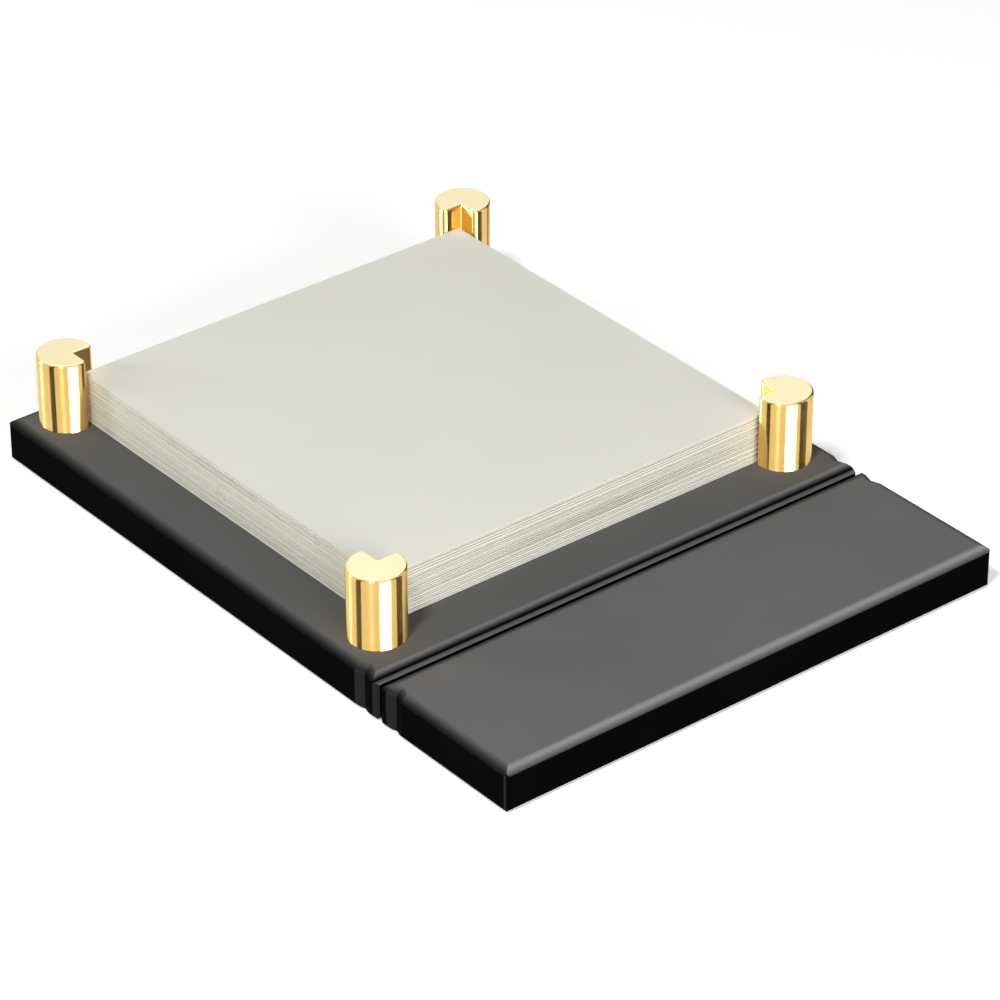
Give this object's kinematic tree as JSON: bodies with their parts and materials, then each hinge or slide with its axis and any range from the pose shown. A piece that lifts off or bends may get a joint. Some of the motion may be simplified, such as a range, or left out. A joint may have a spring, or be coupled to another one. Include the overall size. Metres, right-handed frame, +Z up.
{
  "type": "memo pad holder with drawer",
  "caption": "Flat desk holder for loose memo sheets: a low base with notched corner posts and a shallow drawer whose front is the near end of the base.",
  "frame": {"origin": "on the desk, under the middle of the base", "axes": "+X to the right, +Y to the rear, +Z up; the drawer slides out along -Y"},
  "size_m": [0.124, 0.164, 0.0256],
  "materials": {
    "lacquer": "black moulded shell with a soft sheen",
    "moulded_black": "black moulded plastic with a fine grain",
    "gilt_brass": "brass, polished and gilt",
    "steel": "zinc-plated steel",
    "rubber": "soft black rubber",
    "felt": "thin dark felt",
    "paper": "plain off-white note paper, cut edges"
  },
  "bodies": {
    "root": {"housing": "lacquer", "base_plate": "moulded_black", "foot_rear_left": "rubber", "foot_rear_right": "rubber", "foot_front_left": "rubber", "foot_front_right": "rubber", "base_screws": "steel", "post_rear_left": "gilt_brass", "post_rear_right": "gilt_brass", "post_front_left": "gilt_brass", "post_front_right": "gilt_brass", "post_screws": "steel", "bumper_left": "rubber", "bumper_right": "rubber"},
    "drawer": {"drawer_front": "lacquer", "drawer_front_cover": "moulded_black", "drawer_front_cover_screws": "steel", "drawer_tray": "moulded_black", "tray_liner": "felt", "tray_screws": "steel"},
    "memo_stack": {"memo_sheets": "paper"}
  },
  "joints": [
    {"name": "drawer_slide", "type": "slide", "parent": "root", "child": "drawer", "axis": [0, -1, 0], "range_m": [0, 0.08]},
    {"name": "memo_lift", "type": "slide", "parent": "root", "child": "memo_stack", "axis": [0, 0, 1], "range_m": [0, 0.03]}
  ]
}
